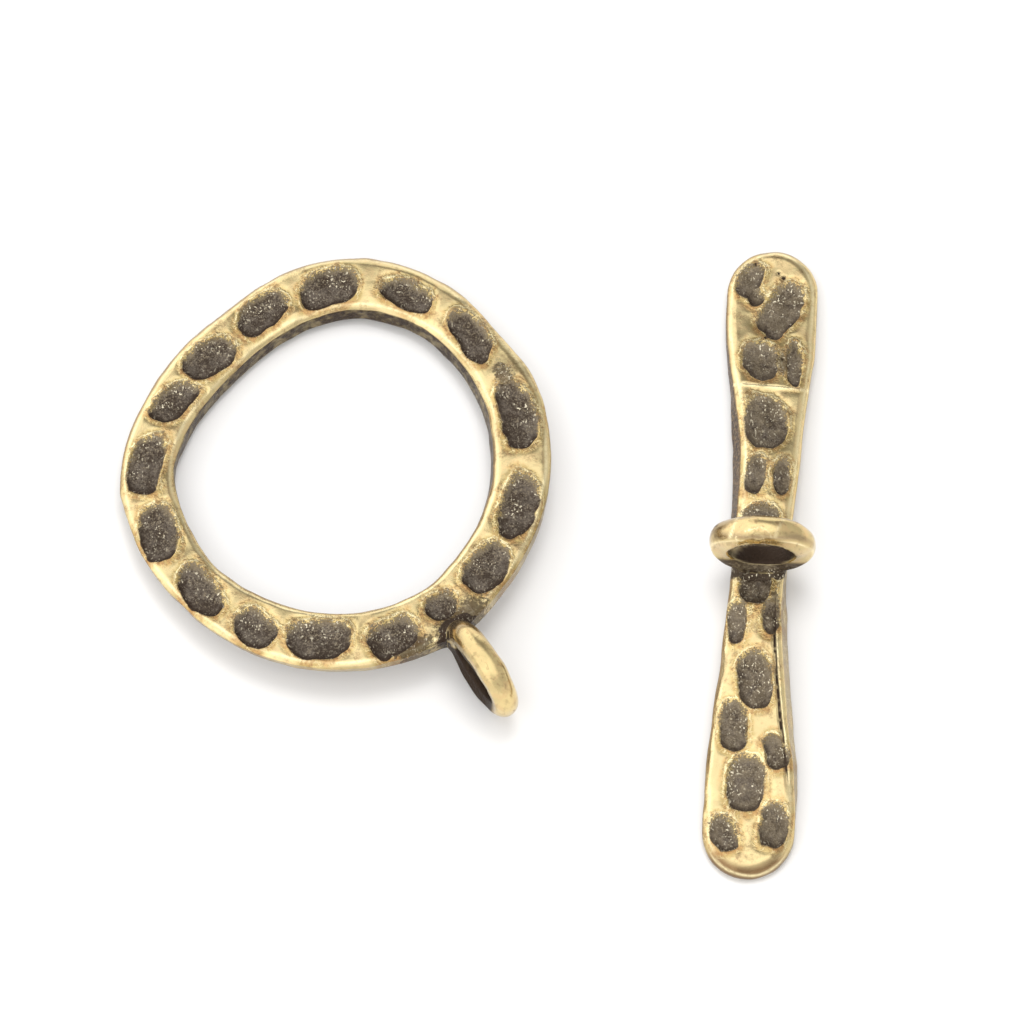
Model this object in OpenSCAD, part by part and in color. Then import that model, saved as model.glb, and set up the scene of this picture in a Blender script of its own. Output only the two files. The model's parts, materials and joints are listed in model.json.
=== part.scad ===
// Toggle clasp of antique brass: a hammered ring and a hammered bar, each cast with its own eye.
// The ring lies propped on its eye, the bar lies beside it, and both rest on the plane z = 0.
// Millimetres, +Z up, origin under the middle of the box around both pieces.

/* [Ring] */
// Radius of the ring's outer edge, before its hammered waviness
ring_radius = 9; // [8:0.1:11]
// Width of the ring's flat band
band_width = 2.3; // [1.9:0.05:2.8]
// Thickness of the ring's band where it is thickest
band_thickness = 1.25; // [1:0.05:1.6]
// Rounding of the band's long edges
band_rounding = 0.3; // [0.15:0.05:0.45]
// Depth of the hammer marks in the ring's face
band_mark_depth = 0.22; // [0.08:0.02:0.32]

/* [Bar] */
// Length of the bar
bar_length = 27.9; // [22:0.1:36]
// Width of the bar's spoon ends
bar_width = 3.8; // [3.2:0.1:5]
// Thickness of the bar at its eye
bar_thickness = 1.5; // [1.2:0.05:2]
// Rounding of the bar's long edges
bar_rounding = 0.3; // [0.15:0.05:0.4]
// Depth of the hammer marks in the bar's face
bar_mark_depth = 0.18; // [0.08:0.02:0.26]
// Angle by which each half of the bar leans to its own side between the eye and the spoon end
bar_lean = 10; // [0:1:14]
// Distance of the bar's eye from the bar's middle, towards its near end
bar_eye_offset = 0.4; // [0:0.1:2]

/* [Eyes] */
// Diameter of the hole that takes a jump ring
eye_hole = 2.6; // [2.2:0.1:3.4]
// Thickness of an eye from its hole to its outside
eye_wall = 0.9; // [0.7:0.05:1.2]
// Width of an eye along the axis of its hole
eye_width = 1.1; // [0.9:0.05:1.4]
// Rounding of the two mouths of the hole
eye_mouth = 0.15; // [0.05:0.05:0.2]
// How deep an eye is sunk into the metal that carries it
eye_sink = 0.4; // [0.25:0.05:0.5]

/* [Layout] */
// Distance of the ring's centre to the left of the bar's middle
ring_left = 17.8; // [15:0.1:24]
// Distance of the ring's centre beyond the bar's middle, towards the bar's far end
ring_beyond = 3; // [-6:0.1:8]
// Direction in which the ring's eye points, anticlockwise from the right
ring_heading = -54; // [-70:1:-40]

/* [Hidden] */

// Sections round the ring, sections along the bar, and steps across the flat of a face
RING_STATIONS = 144;
BAR_STATIONS = 88;
FACE_STEPS = 7;
// Angles of the points on a rounded edge of a face and of an underside
FACE_EDGE = [0, 35, 65];
BACK_EDGE = [0, 45, 90];
// Facets round an eye, and round each curve of its section
EYE_FACETS = 36;
SECTION_FACETS = 20;
// Rounding of an eye's outside as a share of its width
EYE_CROWN = 0.45;
// Bluntness of the bar's rounded ends, 2 for a half circle, and where their last section stands
END_POWER = 2;
LAST_SECTION = 0.9985;
// How strongly the bar's sections crowd towards its ends, and the most that an end's edge is rounded
CROWDING = 0.4;
END_EDGE = 0.9;
// Least straight wall between the two rounded edges of the band
LEAST_WALL = 0.02;

// The ring's outline, anticlockwise from its eye
OUTER = 1;
BAND = 2;
DEEP = 3;
RING_OUTLINE = [
    // heading in degrees, outer edge as a share of ring_radius, band as a share of band_width,
    // thickness as a share of band_thickness
    [  0, 1.050, 1.060, 1.00],
    [ 20, 1.013, 1.048, 0.95],
    [ 40, 0.987, 1.010, 0.85],
    [ 60, 0.987, 1.035, 0.90],
    [ 80, 1.000, 1.010, 1.00],
    [100, 0.990, 0.890, 1.00],
    [120, 1.040, 0.990, 1.00],
    [140, 1.060, 1.060, 1.00],
    [160, 1.020, 1.100, 1.00],
    [180, 0.950, 1.040, 1.00],
    [200, 0.940, 1.060, 1.00],
    [220, 0.960, 1.030, 1.00],
    [240, 1.000, 1.050, 0.90],
    [260, 1.000, 1.005, 0.74],
    [280, 1.002, 0.945, 0.66],
    [300, 1.023, 1.030, 0.64],
    [320, 1.050, 1.090, 0.64],
    [340, 1.060, 1.085, 0.74],
    [360, 1.050, 1.060, 1.00]
];

// Headings of the two far points of the ring's edge that touch the ground
FAR_POINTS = [172, 186];

// Hammer marks of both pieces: place along and across the face, half of each size, and turn in degrees
ALONG = 0;
ACROSS = 1;
HALF_LONG = 2;
HALF_WIDE = 3;
TURN = 4;
RING_MARKS = [
    // heading in degrees, place across and both halves as shares of half the band, turn in degrees
    [  0, -0.09, 0.60, 0.52,  20],
    [ 18,  0.17, 1.08, 0.75,   4],
    [ 40,  0.18, 1.38, 0.70,  -2],
    [ 71,  0.02, 1.45, 0.68,  -4],
    [102,  0.02, 1.17, 0.60,   9],
    [126, -0.13, 1.05, 0.57,   3],
    [150, -0.13, 1.12, 0.73,  -2],
    [172,  0.00, 1.05, 0.68,   0],
    [195, -0.03, 1.08, 0.70,  12],
    [215, -0.03, 0.96, 0.62,  18],
    [238,  0.08, 1.22, 0.66,   8],
    [261,  0.15, 1.16, 0.70,  16],
    [284,  0.18, 1.14, 0.64,  11],
    [304,  0.23, 0.84, 0.67,  16],
    [323,  0.06, 1.23, 0.79,  -7],
    [344,  0.24, 1.00, 0.71, -15]
];

// The bar's sections, from its near end to its far end
WIDE = 1;
THICK = 2;
LEAN = 3;
BAR_SECTIONS = [
    // place as a share of half the length, width and thickness as shares of bar_width and
    // bar_thickness, lean as a share of bar_lean
    [-1.00, 0.93, 0.62,  0.0],
    [-0.84, 0.99, 0.66,  0.0],
    [-0.68, 0.94, 0.76, -0.5],
    [-0.52, 0.82, 0.88, -0.9],
    [-0.34, 0.68, 0.96, -1.0],
    [-0.14, 0.59, 1.00, -0.8],
    [ 0.08, 0.61, 1.00,  0.2],
    [ 0.30, 0.66, 0.98,  1.0],
    [ 0.48, 0.79, 0.88,  0.8],
    [ 0.64, 0.94, 0.76,  0.3],
    [ 0.80, 1.00, 0.66,  0.0],
    [ 1.00, 0.94, 0.62,  0.0]
];
BAR_MARKS = [
    // place along as a share of half the length, place across and both halves as shares of half
    // the widest width, turn in degrees
    [-0.88, -0.54, 0.43, 0.28, -15],
    [-0.86,  0.50, 0.48, 0.28,  10],
    [-0.74, -0.08, 0.60, 0.37,   6],
    [-0.64,  0.60, 0.46, 0.26, -20],
    [-0.55, -0.35, 0.57, 0.26,  -3],
    [-0.41,  0.08, 0.63, 0.35, -11],
    [-0.23, -0.35, 0.48, 0.23,   0],
    [-0.22,  0.38, 0.42, 0.18,  -6],
    [-0.11,  0.00, 0.46, 0.38,   0],
    [ 0.10, -0.08, 0.36, 0.42,   0],
    [ 0.22,  0.30, 0.49, 0.23,  -3],
    [ 0.23, -0.32, 0.46, 0.21,   3],
    [ 0.41, -0.12, 0.68, 0.45,   0],
    [ 0.60,  0.51, 0.55, 0.17,   0],
    [ 0.62, -0.23, 0.49, 0.40,   0],
    [ 0.80,  0.20, 0.70, 0.40,  30],
    [ 0.89, -0.50, 0.46, 0.28,  30]
];

eye_radius = eye_hole / 2 + eye_wall;
half_band = band_width / 2;
half_bar = bar_length / 2;
half_bar_width = bar_width / 2;

// Smooth value of a table's column at a place, through the four rows around it
function row_at(table, place, i = 0) =
    i + 2 >= len(table) || place < table[i + 1][0] ? i : row_at(table, place, i + 1);
function curve(a, b, c, d, t) =
    b + (c - a) * t / 2 + (2 * a - 5 * b + 4 * c - d) * t * t / 2 + (3 * b - a - 3 * c + d) * t * t * t / 2;
function smooth(table, column, place, closed) =
    let (
        last = len(table) - 1,
        i = row_at(table, place),
        before = i > 0 ? i - 1 : (closed ? last - 1 : 0),
        after = i + 2 <= last ? i + 2 : (closed ? 1 : last),
        t = (place - table[i][0]) / (table[i + 1][0] - table[i][0])
    )
    curve(table[before][column], table[i][column], table[i + 1][column], table[after][column], t);

// Depth of one hammer mark at a distance along and across from its middle, 1 at the middle
function squared(v) = v * v;
function bowl(along, across, mark, unit) =
    let (
        a = along * cos(mark[TURN]) + across * sin(mark[TURN]),
        b = across * cos(mark[TURN]) - along * sin(mark[TURN]),
        q = squared(a / (mark[HALF_LONG] * unit)) + squared(b / (mark[HALF_WIDE] * unit))
    )
    q >= 1 ? 0 : 1 - q * q;

// Fall of a face near a long edge that has the given rounding
function edge_fall(inset, rounding) =
    inset >= rounding ? 0 : rounding - sqrt(max(0, squared(rounding) - squared(rounding - inset)));

// Points across a face and back under it, as shares of the half width
function reversed(list) = [for (i = [len(list) - 1:-1:0]) list[i]];
function across_steps(half, rounding) =
    let (flat = half - rounding)
    concat(
        [for (a = FACE_EDGE) -(flat + rounding * cos(a)) / half],
        [for (k = [0:FACE_STEPS]) (2 * k / FACE_STEPS - 1) * flat / half],
        [for (a = reversed(FACE_EDGE)) (flat + rounding * cos(a)) / half]
    );
function back_steps(half, rounding) =
    let (flat = half - rounding)
    concat(
        [for (a = BACK_EDGE) (flat + rounding * cos(a)) / half],
        [for (a = reversed(BACK_EDGE)) -(flat + rounding * cos(a)) / half]
    );

// Skin of a body from its closed rings of points
function band_faces(rows, n, closed) =
    [for (i = [0:rows - (closed ? 1 : 2)]) for (j = [0:n - 1]) for (k = [0, 1])
        let (
            a = i * n + j,
            b = i * n + (j + 1) % n,
            c = ((i + 1) % rows) * n + (j + 1) % n,
            d = ((i + 1) % rows) * n + j
        )
        k == 0 ? [a, c, b] : [a, d, c]];
function cap_faces(start, n, flip) =
    [for (j = [1:n - 2]) flip ? [start, start + j + 1, start + j] : [start, start + j, start + j + 1]];

// The ring in its own frame: its eye along +X, its face up, its middle plane at z = 0
function ring_outer(heading) = ring_radius * smooth(RING_OUTLINE, OUTER, heading, true);
function ring_band(heading) = band_width * smooth(RING_OUTLINE, BAND, heading, true);
function ring_thick(heading) = band_thickness * smooth(RING_OUTLINE, DEEP, heading, true);
function turned(heading) = heading > 180 ? heading - 360 : heading < -180 ? heading + 360 : heading;
function ring_dent(heading, radius, mid) =
    max([for (mark = RING_MARKS)
        bowl(turned(heading - mark[ALONG]) * PI / 180 * radius,
             radius - mid - mark[ACROSS] * half_band, mark, half_band)]);
function ring_section(heading) =
    let (
        outer = ring_outer(heading),
        half = ring_band(heading) / 2,
        mid = outer - half,
        top = band_thickness / 2,
        thick = ring_thick(heading),
        low_rounding = min(band_rounding, thick - band_rounding - LEAST_WALL)
    )
    concat(
        [for (u = across_steps(half, band_rounding))
            let (radius = mid + u * half)
            [radius, top - edge_fall(half * (1 - abs(u)), band_rounding)
                - band_mark_depth * ring_dent(heading, radius, mid)]],
        [for (u = back_steps(half, low_rounding))
            [mid + u * half, edge_fall(half * (1 - abs(u)), low_rounding) + top - thick]]
    );
ring_points = [for (i = [0:RING_STATIONS - 1])
    let (heading = 360 * i / RING_STATIONS)
    for (p = ring_section(heading)) [p[0] * cos(heading), p[0] * sin(heading), p[1]]];
ring_eye_x = ring_outer(0) - eye_sink + eye_radius;

// How the ring lies: on its eye and on the two far points, turned up about the line through them
function rim_centre(heading) = (ring_outer(heading) - band_rounding) * [cos(heading), sin(heading)];
far_line = rim_centre(FAR_POINTS[1]) - rim_centre(FAR_POINTS[0]);
prop_axis = [far_line[0], far_line[1], 0] / norm(far_line);
eye_reach = cross(far_line, [ring_eye_x, 0] - rim_centre(FAR_POINTS[0])) / norm(far_line);
rim_rise = band_thickness / 2 - band_rounding;
prop = asin((eye_radius - band_rounding) / norm([eye_reach, rim_rise])) - atan(rim_rise / eye_reach);
function propped(p) =
    p * cos(prop) + cross(prop_axis, p) * sin(prop) + prop_axis * (prop_axis * p) * (1 - cos(prop));
function headed(p) =
    let (
        ahead = [cos(ring_heading), sin(ring_heading), 0],
        aside = [-sin(ring_heading), cos(ring_heading), 0]
    )
    p[0] * ahead + p[1] * aside + [0, 0, p[2]];
ring_place = [-ring_left, ring_beyond, eye_radius - propped([ring_eye_x, 0, 0])[2]];
laid_ring = [for (p = ring_points) headed(propped(p)) + ring_place];

// The bar in its own frame: its length along Y, its underside on z = 0
function bar_half(place) =
    let (
        half = half_bar_width * smooth(BAR_SECTIONS, WIDE, place, false),
        inset = half_bar * (1 - abs(place))
    )
    inset >= half ? half : half * pow(1 - pow(1 - inset / half, END_POWER), 1 / END_POWER);
function bar_thick(place) = bar_thickness * smooth(BAR_SECTIONS, THICK, place, false);
function bar_dent(place, x) =
    max([for (mark = BAR_MARKS)
        bowl((place - mark[ALONG]) * half_bar, x - mark[ACROSS] * half_bar_width, mark, half_bar_width)]);
function bar_section(place) =
    let (
        half = bar_half(place),
        thick = bar_thick(place),
        rounding = min(bar_rounding, half * END_EDGE),
        lean = bar_lean * smooth(BAR_SECTIONS, LEAN, place, false),
        low = (half - rounding) * abs(sin(lean)) - rounding * (1 - cos(lean))
    )
    [for (p = concat(
        [for (u = across_steps(half, rounding))
            [u * half, thick - edge_fall(half * (1 - abs(u)), rounding)
                - bar_mark_depth * bar_dent(place, u * half)]],
        [for (u = back_steps(half, rounding)) [u * half, edge_fall(half * (1 - abs(u)), rounding)]]
    ))
        [p[0] * cos(lean) + p[1] * sin(lean), place * half_bar, p[1] * cos(lean) - p[0] * sin(lean) + low]];
function bar_place(i) =
    let (t = 2 * i / BAR_STATIONS - 1)
    LAST_SECTION * ((1 - CROWDING) * t + CROWDING * sin(90 * t));
bar_points = [for (i = [0:BAR_STATIONS]) for (p = bar_section(bar_place(i))) p];
bar_eye_z = bar_thick(-bar_eye_offset / half_bar) - eye_sink + eye_radius;

// The box around both pieces, which sets the origin
box_left = min([for (p = laid_ring) p[0]]);
box_right = max(max([for (p = bar_points) p[0]]), eye_radius);
box_near = min(min([for (p = laid_ring) p[1]]), min([for (p = bar_points) p[1]]));
box_far = max(max([for (p = laid_ring) p[1]]), max([for (p = bar_points) p[1]]));
to_origin = [-(box_left + box_right) / 2, -(box_near + box_far) / 2, 0];

// Metal of an eye, cut across: flat in the hole, round outside
module eye_section() {
    crown = min(eye_width * EYE_CROWN, eye_wall - 2 * eye_mouth);
    core = eye_radius - crown;
    mouth = eye_hole / 2 + eye_mouth;
    translate([mouth, -eye_width / 2])
        square([core - mouth, eye_width]);
    translate([eye_hole / 2, eye_mouth - eye_width / 2])
        square([eye_mouth, eye_width - 2 * eye_mouth]);
    translate([core, crown - eye_width / 2])
        square([crown, eye_width - 2 * crown]);
    for (side = [-1, 1]) {
        translate([mouth, side * (eye_width / 2 - eye_mouth)])
            circle(r = eye_mouth);
        translate([core, side * (eye_width / 2 - crown)])
            circle(r = crown);
    }
}

// An eye around the origin, with the axis of its hole along Y
module eye() {
    rotate([90, 0, 0])
        rotate_extrude($fn = EYE_FACETS)
            eye_section($fn = SECTION_FACETS);
}

module toggle_ring() {
    color("darkgoldenrod")
        translate(to_origin)
            union() {
                polyhedron(laid_ring, band_faces(RING_STATIONS, len(laid_ring) / RING_STATIONS, true));
                translate(ring_place)
                    rotate([0, 0, ring_heading])
                        rotate(a = prop, v = prop_axis)
                            translate([ring_eye_x, 0, 0])
                                eye();
            }
}

module toggle_bar() {
    n = len(bar_points) / (BAR_STATIONS + 1);
    color("goldenrod")
        translate(to_origin)
            union() {
                polyhedron(bar_points, concat(
                    band_faces(BAR_STATIONS + 1, n, false),
                    cap_faces(0, n, false),
                    cap_faces(BAR_STATIONS * n, n, true)
                ));
                translate([0, -bar_eye_offset, bar_eye_z])
                    eye();
            }
}

toggle_ring();
toggle_bar();
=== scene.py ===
import json
from math import asin, atan2, cos, hypot, pi, radians, sin

import bpy
import numpy as np
from mathutils import Matrix, Vector
from mathutils.bvhtree import BVHTree


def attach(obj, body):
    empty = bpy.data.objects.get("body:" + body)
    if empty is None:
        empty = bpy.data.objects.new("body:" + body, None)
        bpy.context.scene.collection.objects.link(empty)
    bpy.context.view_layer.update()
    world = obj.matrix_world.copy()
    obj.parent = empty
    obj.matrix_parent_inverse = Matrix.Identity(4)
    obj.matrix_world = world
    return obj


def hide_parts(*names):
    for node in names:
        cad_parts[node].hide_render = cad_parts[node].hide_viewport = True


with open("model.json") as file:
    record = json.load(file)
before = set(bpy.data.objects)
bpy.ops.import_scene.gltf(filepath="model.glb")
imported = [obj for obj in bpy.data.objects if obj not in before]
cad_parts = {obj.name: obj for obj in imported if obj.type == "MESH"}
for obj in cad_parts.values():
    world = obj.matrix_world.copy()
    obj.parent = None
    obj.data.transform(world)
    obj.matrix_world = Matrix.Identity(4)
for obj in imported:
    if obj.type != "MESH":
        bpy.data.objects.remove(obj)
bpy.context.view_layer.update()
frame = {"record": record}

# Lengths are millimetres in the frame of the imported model, and MM turns them into metres
MM = 0.001
MOUNTS = {mount["name"]: mount for mount in frame["record"]["mounts"]}
# Least divisor, and a distance further than any in the model
TINY = 1e-6
FAR = 1e9

# Driving sizes of the ring and the bar
RING_RADIUS = 9.0
BAND_WIDTH = 2.3
BAND_THICKNESS = 1.25
BAND_MARK_DEPTH = 0.22
RING_HEADING = radians(-54)
HALF_BAR = 27.9 / 2
BAR_WIDTH = 3.8
BAR_THICKNESS = 1.5
BAR_MARK_DEPTH = 0.18
BAR_LEAN = radians(10)
BAR_EYE_OFFSET = 0.4
EYE_WALL = 0.9
EYE_WIDTH = 1.1
EYE_SINK = 0.4
EYE_HOLE = MOUNTS["bar_eye_hole"]["dims"]["r_mm"]
EYE_RADIUS = EYE_HOLE + EYE_WALL

# Rounding of the long edges: how far it reaches in from the side, and how far down from the face.
# The ring's are rounder on its far side, by up to EDGE_SWING
BAR_EDGE_REACH = 0.44
BAR_EDGE_DROP = 0.32
RING_EDGE_REACH = 0.38
RING_EDGE_DROP = 0.3
EDGE_SWING = 0.1
FAR_SIDE = 144
BACK_REACH = 0.24
BACK_DROP = 0.24
# Rounding of the CAD solids' edges, which sets how the pieces lie
CAD_ROUNDING = 0.3
# Profile of the rounded edges: 2 for a quarter circle, less for a slope with softened ends
EDGE_POWER = 1.6
# The bar's near end is rounder still: how much further its edge reaches in and drops
NEAR_END_REACH = 0.1
NEAR_END_DROP = 0.3
# How far the faces fall from their middle to their long edges
CROWN = 0.08
# Bluntness of the bar's ends, 2 for a half circle
END_POWER = 2.0

# The ring's outline, anticlockwise from its eye
OUTER = 1
BAND = 2
DEEP = 3
RING_OUTLINE = np.array([
    # heading in degrees, outer edge as a share of RING_RADIUS, band as a share of BAND_WIDTH,
    # thickness as a share of BAND_THICKNESS
    (0, 1.05, 1.06, 1),
    (20, 1.013, 1.048, 0.95),
    (40, 0.998, 1.03, 0.85),
    (60, 0.994, 1.045, 0.9),
    (80, 1, 1.01, 1),
    (100, 0.99, 0.89, 1),
    (120, 1.04, 0.99, 1),
    (140, 1.06, 1.06, 1),
    (160, 1.02, 1.1, 1),
    (180, 0.95, 1.04, 1),
    (200, 0.94, 1.06, 1),
    (220, 0.96, 0.99, 1),
    (240, 1, 0.98, 0.9),
    (260, 1, 1.005, 0.74),
    (280, 1.002, 0.945, 0.66),
    (300, 1.023, 1.03, 0.64),
    (320, 1.05, 1.09, 0.64),
    (340, 1.06, 1.085, 0.74),
    (360, 1.05, 1.06, 1),
])
# Headings of the two far points of the ring's edge that touch the ground
FAR_POINTS = (172, 186)

# Hammer marks: place along and across, half of each size, turn in degrees
RING_MARKS = [
    # heading in degrees, place across and both halves as shares of half the band, turn in degrees
    (0, -0.09, 0.6, 0.52, 20),
    (18, 0.17, 1.08, 0.75, 4),
    (40, 0.18, 1.38, 0.7, -2),
    (71, 0.02, 1.45, 0.68, -4),
    (102, 0.02, 1.17, 0.6, 9),
    (126, -0.13, 1.05, 0.57, 3),
    (150, -0.13, 1.12, 0.73, -2),
    (172, 0, 1.05, 0.68, 0),
    (195, -0.03, 1.08, 0.7, 12),
    (215, -0.03, 0.96, 0.62, 18),
    (238, 0.08, 1.22, 0.66, 8),
    (261, 0.15, 1.16, 0.7, 16),
    (284, 0.18, 1.14, 0.64, 11),
    (304, 0.23, 0.84, 0.67, 16),
    (323, 0.06, 1.23, 0.79, -7),
    (344, 0.24, 1, 0.71, -15),
]

# The bar's sections, from its near end to its far end
WIDE = 1
THICK = 2
LEAN = 3
BAR_SECTIONS = np.array([
    # place as a share of half the length, width, thickness and lean as shares of the bar's
    (-1, 0.93, 0.62, 0),
    (-0.84, 0.99, 0.66, 0),
    (-0.68, 0.94, 0.76, -0.5),
    (-0.52, 0.82, 0.88, -0.9),
    (-0.34, 0.68, 0.96, -1),
    (-0.14, 0.59, 1, -0.8),
    (0.08, 0.61, 1, 0.2),
    (0.3, 0.66, 0.98, 1),
    (0.48, 0.79, 0.88, 0.8),
    (0.64, 0.94, 0.76, 0.3),
    (0.8, 1, 0.66, 0),
    (1, 0.94, 0.62, 0),
])
BAR_MARKS = [
    # place along as a share of half the length, place across and both halves as shares of half
    # the widest width, turn in degrees
    (-0.88, -0.54, 0.43, 0.28, -15),
    (-0.85, 0.5, 0.53, 0.31, 10),
    (-0.725, -0.08, 0.66, 0.43, 6),
    (-0.63, 0.58, 0.38, 0.24, -15),
    (-0.55, -0.35, 0.59, 0.31, -3),
    (-0.412, 0.09, 0.69, 0.38, -11),
    (-0.225, -0.34, 0.52, 0.23, 0),
    (-0.21, 0.38, 0.43, 0.18, -6),
    (-0.11, 0, 0.46, 0.38, 0),
    (0.1, -0.08, 0.36, 0.42, 0),
    (0.238, 0.28, 0.44, 0.2, -3),
    (0.24, -0.32, 0.46, 0.25, 3),
    (0.415, -0.15, 0.65, 0.49, 0),
    (0.62, 0.51, 0.55, 0.18, 0),
    (0.62, -0.23, 0.49, 0.4, 0),
    (0.8, 0.2, 0.7, 0.4, 30),
    (0.895, -0.52, 0.46, 0.27, 30),
]
# Tails of two of the bar's marks, in the same columns
BAR_TAILS = [
    (0.735, 0.04, 0.3, 0.2, 5),
    (0.855, -0.48, 0.33, 0.19, -35),
]
# Pits in the bar's face: place along and across as shares, radius in mm
BAR_PITS = [
    (0.906, 0.227, 0.1),
    (0.921, 0.112, 0.07),
    (0.95, -0.407, 0.08),
    (0.703, -0.131, 0.08),
    (0.633, 0.243, 0.09),
]
PIT_DEPTH = 0.08
# How far from its middle, along the piece, a mark is looked for
RING_MARK_SPAN = 4
BAR_MARK_SPAN = 3
# Dull patches without a dent, in the marks' columns without their turn
RING_STAINS = [
    (85, 0.06, 0.7, 0.36),
    (3, 0.8, 1.3, 0.6),
    (348, 0.85, 0.9, 0.4),
]
BAR_STAINS = [
    (0.62, 0.24, 0.35, 0.14),
    (-0.16, 0.44, 0.3, 0.12),
]
# Groove along the bar's right edge: from where to where, its fading ends, how far in, depth and width
GROOVE_FROM = -0.76
GROOVE_TO = -0.08
GROOVE_EASE = 0.1
GROOVE_INSET = 0.27
GROOVE_DEPTH = 0.1
GROOVE_WIDTH = 0.07
# How far the bar's walls stand out at their foot, on the left beyond the eye and on the right before it:
# each from its start to where it is full, and from its end to where it is full
FOOT_OUT = 0.13
LEFT_FOOT = (-0.02, 0.12, 0.6, 0.4)
RIGHT_FOOT = (-0.05, -0.2, -0.85, -0.7)
# Narrow ridge left across the bar between two marks: its place, height and width
BAR_RIDGE = 0.536
RIDGE_HEIGHT = 0.05
RIDGE_WIDTH = 0.09
# How far the ring's outer wall falls back towards its foot on the near side
WALL_DRAFT = 0.06
NEAR_SIDE = 320
# How far the ring's inner wall stands out at its foot, most on this side
INNER_FOOT = 0.15
INNER_SIDE = 70
# Squareness of a mark's outline, 2 for an ellipse, and steepness of its walls
MARK_POWER = 2.4
MARK_WALL = 5
# Unevenness of a mark's outline: the lengths of its waves, and how far they move it
BROAD_WAVE = 0.9
FINE_WAVE = 0.4
BROAD_ALONG = 0.1
BROAD_ACROSS = 0.08
FINE_SHIFT = 0.07
# Shoulder that falls towards a mark, and the lip at its rim: height and width
SHOULDER_DEPTH = 0.07
SHOULDER_WIDTH = 0.24
LIP_HEIGHT = 0.035
LIP_WIDTH = 0.08

# Camera: how far it leans back from straight above, its turn, its distance, and what it frames
CAMERA_TILT = radians(22)
CAMERA_TURN = radians(3.1)
CAMERA_DISTANCE = 320
CAMERA_TARGET = (1.853, 1.795, 0)
VIEW_WIDTH = 42.667
SENSOR = 36


# Noise and smooth tables

# Large odd numbers that scramble the noise's lattice
SCRAMBLE = (374761393, 668265263, 1442695041, 1274126177)
WORD = 0xFFFFFFFF
HALF_WORD = 0xFFFF


def scrambled(x, y, z, seed):
    """A repeatable number from -1 to 1 for each corner of a cubic lattice."""
    by_x, by_y, by_z, by_seed = SCRAMBLE
    mixed = (x * by_x + y * by_y + z * by_z + seed * by_seed) & WORD
    mixed = ((mixed ^ (mixed >> 13)) * by_seed) & WORD
    return ((mixed ^ (mixed >> 16)) & HALF_WORD) / (HALF_WORD / 2) - 1


def noise(points, grain, seed):
    """Smooth noise from -1 to 1 with features of about the size of grain."""
    place = points / grain
    corner = np.floor(place).astype(np.int64)
    t = place - corner
    t = t * t * (3 - 2 * t)
    total = np.zeros(len(points))
    for dx in (0, 1):
        for dy in (0, 1):
            for dz in (0, 1):
                weight = np.abs(1 - dx - t[:, 0]) * np.abs(1 - dy - t[:, 1]) * np.abs(1 - dz - t[:, 2])
                near = corner + np.array([dx, dy, dz])
                total += weight * scrambled(near[:, 0], near[:, 1], near[:, 2], seed)
    return total


def smooth(table, column, place, closed):
    """Value of a table's column at each place, on a smooth curve through its rows."""
    rows = table[:, 0]
    values = table[:, column]
    last = len(table) - 1
    i = np.clip(np.searchsorted(rows, place, side="right") - 1, 0, last - 1)
    before = np.where(i > 0, i - 1, last - 1 if closed else 0)
    after = np.where(i + 2 <= last, i + 2, 1 if closed else last)
    t = (place - rows[i]) / (rows[i + 1] - rows[i])
    a, b, c, d = values[before], values[i], values[i + 1], values[after]
    return (b + (c - a) * t / 2 + (2 * a - 5 * b + 4 * c - d) * t ** 2 / 2
            + (3 * b - a - 3 * c + d) * t ** 3 / 2)


def steps(low, high, values):
    """0 below low, 1 above high, and smooth between them."""
    t = np.clip((values - low) / (high - low), 0, 1)
    return t * t * (3 - 2 * t)


def stretch(place, start, start_full, end, end_full):
    """1 along a stretch, and 0 before its start and beyond its end."""
    return steps(start, start_full, place) * steps(end, end_full, place)


def ridge(values, width):
    """1 where values are 0, falling to 0 over about the width on both sides."""
    return np.exp(-(values / width) ** 2)


def edge_fall(inset, reach, drop):
    """Fall of a face near its edge, along its rounded profile."""
    share = np.clip(1 - inset / reach, 0, 1)
    return drop * (1 - (1 - share ** EDGE_POWER) ** (1 / EDGE_POWER))


def mark_field(along, across, size_long, size_wide, turn, points):
    """Distance inside one mark's uneven outline, negative outside, and its depth from 0 to 1."""
    along = along + BROAD_ALONG * noise(points, BROAD_WAVE, 2) + FINE_SHIFT * noise(points, FINE_WAVE, 4)
    across = across + BROAD_ACROSS * noise(points, BROAD_WAVE, 9) + FINE_SHIFT * noise(points, FINE_WAVE, 6)
    a = np.abs(along * cos(turn) + across * sin(turn)) / size_long
    b = np.abs(across * cos(turn) - along * sin(turn)) / size_wide
    reach = np.maximum((a ** MARK_POWER + b ** MARK_POWER) ** (1 / MARK_POWER), TINY)
    bend = MARK_POWER - 1
    slope = np.hypot((a / reach) ** bend / size_long, (b / reach) ** bend / size_wide)
    return (1 - reach) / slope, np.clip(1 - reach ** MARK_WALL, 0, 1)


def dents(marks, along_from, across, unit, span, points):
    """Distance inside the nearest mark, and the depth of the marks from 0 to 1."""
    inside = np.full(len(points), -FAR)
    depth = np.zeros(len(points))
    for place, aside, half_long, half_wide, turn in marks:
        along = along_from(place)
        near = np.abs(along) < span
        found, dent = mark_field(along[near], across[near] - aside * unit, half_long * unit,
                                 half_wide * unit, radians(turn), points[near])
        inside[near] = np.maximum(inside[near], found)
        depth[near] = np.maximum(depth[near], dent)
    return inside, depth


def stained(stains, along_from, across, unit):
    """Strength of the dull patches, from 0 to 1."""
    total = np.zeros(len(across))
    for place, aside, half_long, half_wide in stains:
        apart = np.hypot(along_from(place) / half_long, (across - aside * unit) / half_wide)
        total = np.maximum(total, ridge(apart, unit))
    return total


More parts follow.
